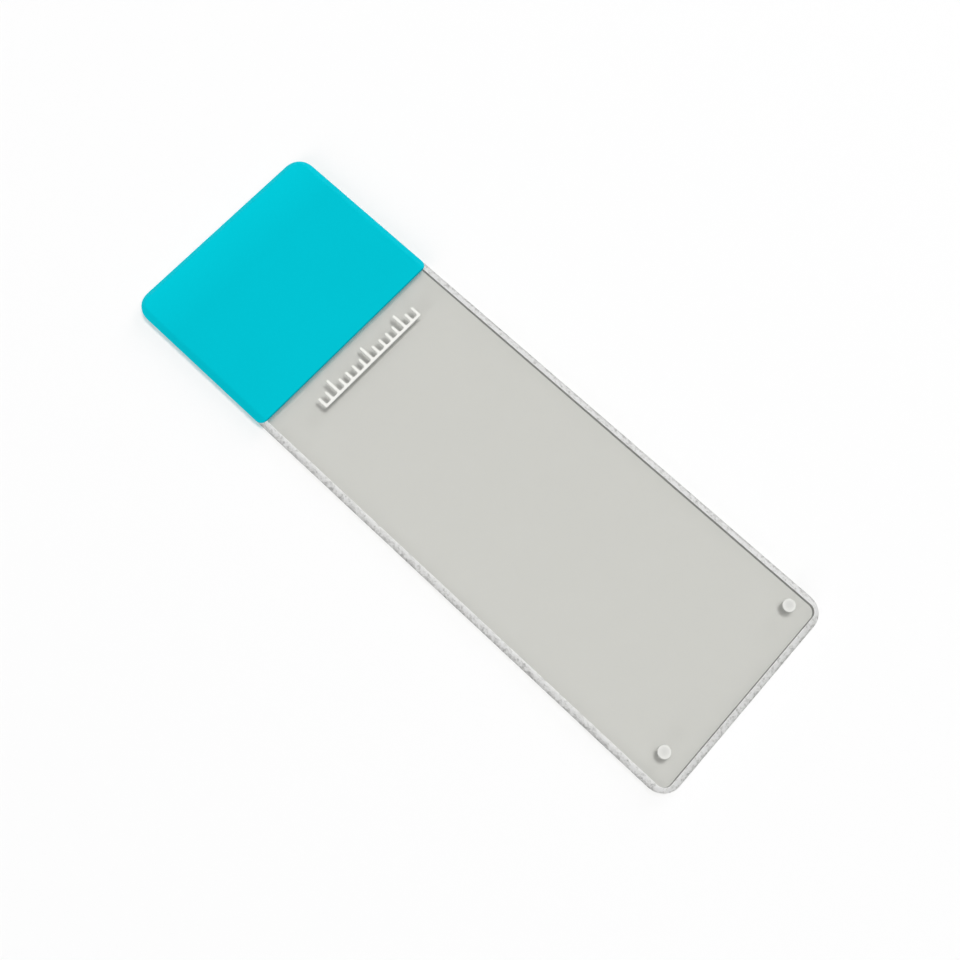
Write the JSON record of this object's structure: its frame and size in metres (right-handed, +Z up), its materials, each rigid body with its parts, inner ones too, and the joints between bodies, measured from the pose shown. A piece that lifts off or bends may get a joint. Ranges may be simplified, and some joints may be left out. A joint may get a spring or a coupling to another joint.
{
  "type": "microscope slide",
  "caption": "Flat glass microscope slide with ground bevelled edges, rounded corners, a coloured label end for writing or printing on, and small raised white print.",
  "frame": {"origin": "middle of the plain lower face, which the slide rests on", "axes": "+X along the slide from the coated label end to the plain end, +Y across it, +Z up out of the coated and printed face"},
  "size_m": [0.075, 0.025, 0.0012],
  "materials": {
    "glass": "clear polished faces, fine ground edges and bevels",
    "label_coating": "smooth satin cyan coating, printed on and cured",
    "white_ink": "raised white screen print, slightly glossy"
  },
  "bodies": {
    "root": {"glass_slide": "glass", "label_coating": "label_coating", "printed_scale": "white_ink", "corner_dot_left": "white_ink", "corner_dot_right": "white_ink"}
  },
  "joints": []
}
